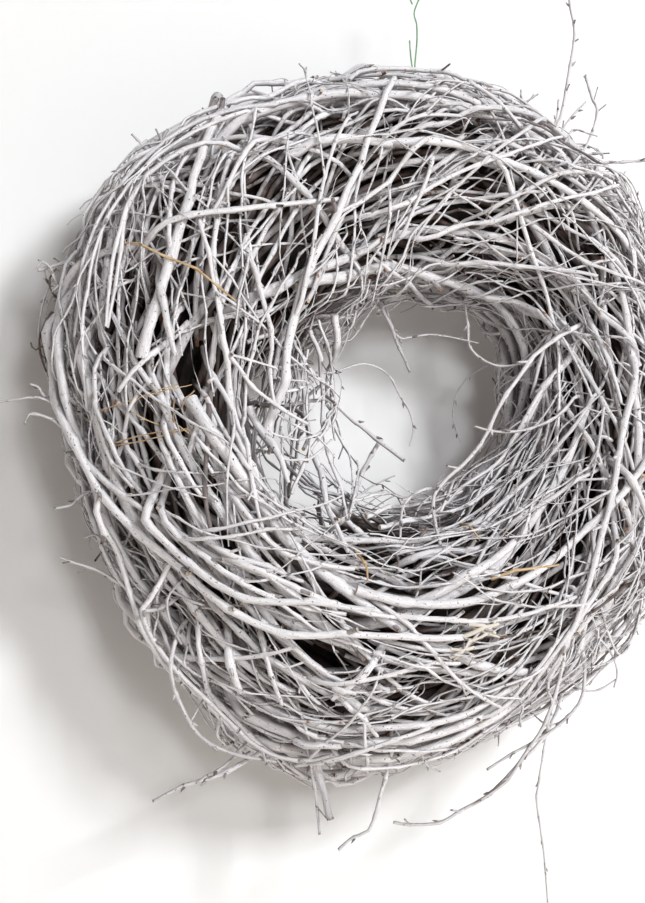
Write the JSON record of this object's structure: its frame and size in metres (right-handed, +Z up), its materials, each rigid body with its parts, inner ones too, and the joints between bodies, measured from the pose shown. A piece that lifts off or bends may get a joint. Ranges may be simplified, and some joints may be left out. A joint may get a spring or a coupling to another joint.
{
  "type": "wicker wreath",
  "caption": "Ring of whitewashed twigs laid up in overlapping bunches, with long twigs wound over them and loose ends standing out, hung flat on a wall by a thin lacquered wire.",
  "frame": {"origin": "top of the inside of the wire's eye, where a nail in the wall carries the wreath", "axes": "+Z up, +Y towards the wall behind the wreath, the face looks along -Y, +X to the right as seen from the front"},
  "size_m": [0.444, 0.1496, 0.6036],
  "materials": {
    "whitewashed_twig": "matte white paint on bark, thin and streaky, worn to brown at buds and ends",
    "green_wire": "thin satin lacquer on soft iron wire"
  },
  "bodies": {
    "root": {"twig_bunch_01": "whitewashed_twig", "twig_bunch_02": "whitewashed_twig", "twig_bunch_03": "whitewashed_twig", "twig_bunch_04": "whitewashed_twig", "twig_bunch_05": "whitewashed_twig", "twig_bunch_06": "whitewashed_twig", "twig_bunch_07": "whitewashed_twig", "twig_bunch_08": "whitewashed_twig", "twig_bunch_09": "whitewashed_twig", "twig_bunch_10": "whitewashed_twig", "hanging_wire": "green_wire"}
  },
  "joints": []
}
